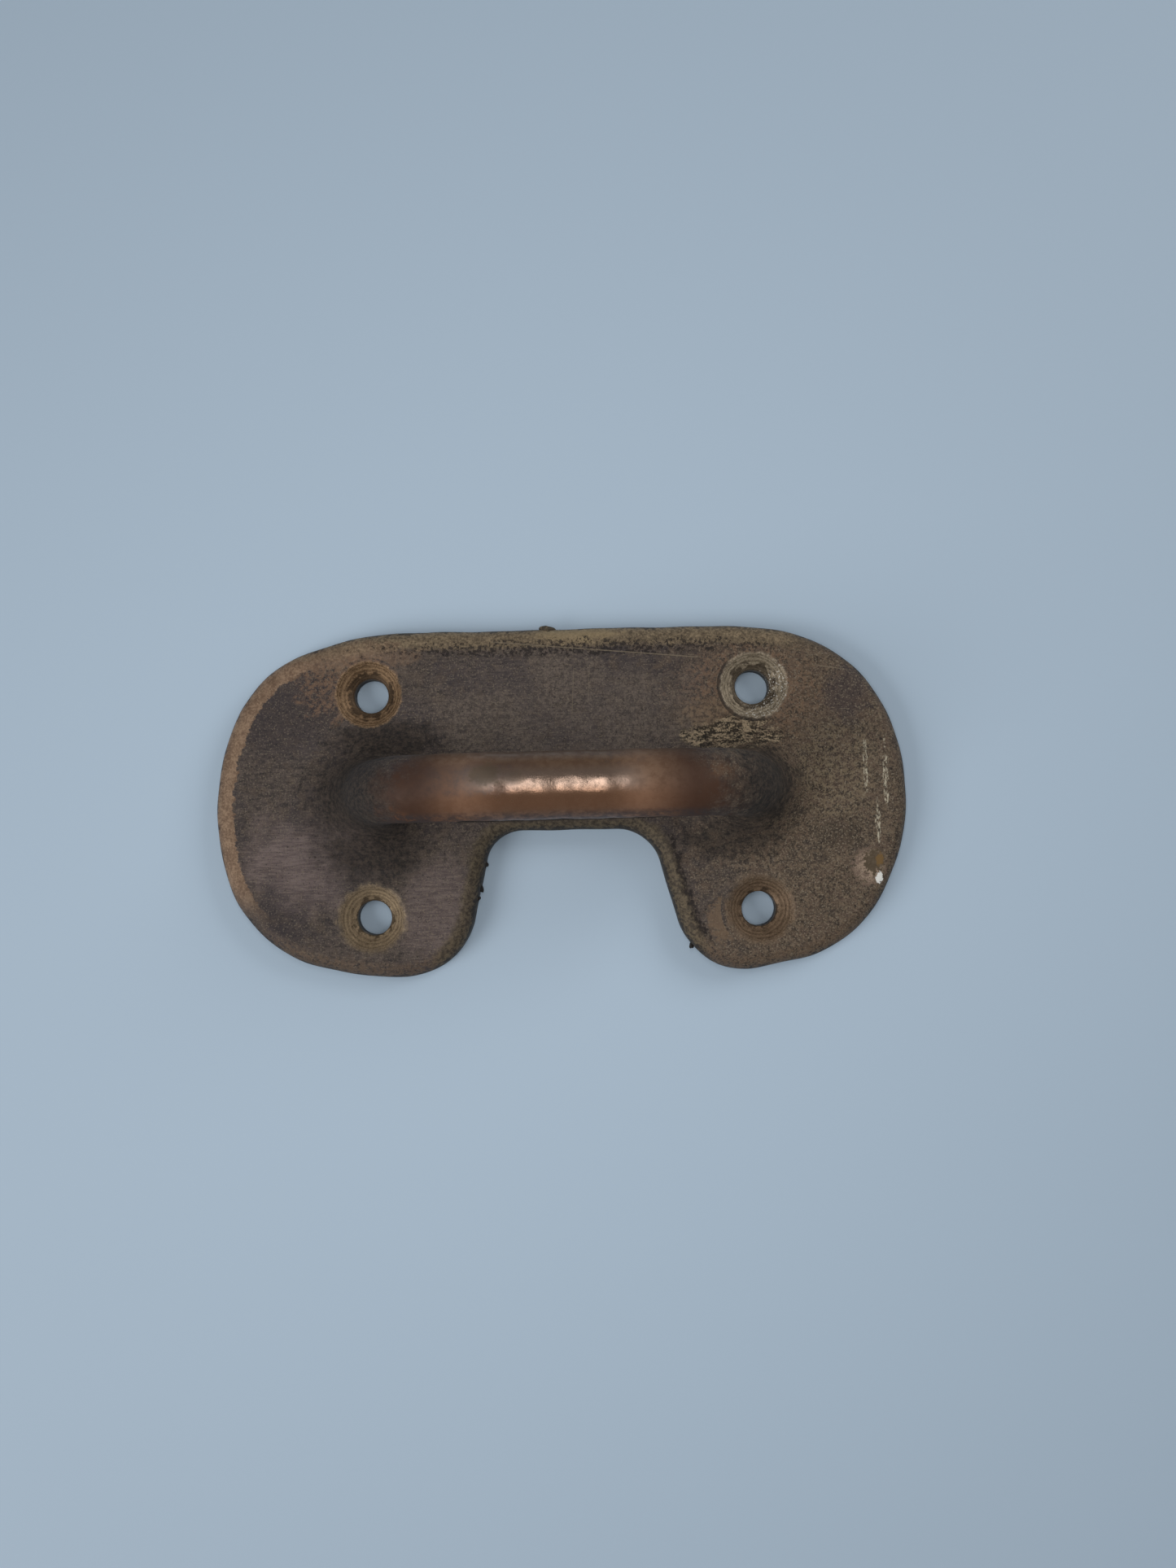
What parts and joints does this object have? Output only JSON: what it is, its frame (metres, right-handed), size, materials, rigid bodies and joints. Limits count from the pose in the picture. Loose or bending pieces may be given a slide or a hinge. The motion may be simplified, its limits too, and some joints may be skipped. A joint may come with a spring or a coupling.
{
  "type": "pull handle",
  "caption": "One-piece cast bronze pull handle: a round bar standing on a notched back plate with countersunk screw holes.",
  "frame": {"origin": "centre of the plate's outline on its back face, which lies flat on the door", "axes": "+X along the bar and the long side of the plate, +Y away from the notch, +Z out of the plate towards the bar"},
  "size_m": [0.116, 0.058, 0.0306],
  "materials": {
    "bronze": "satin"
  },
  "bodies": {
    "root": {"handle_casting": "bronze"}
  },
  "joints": []
}
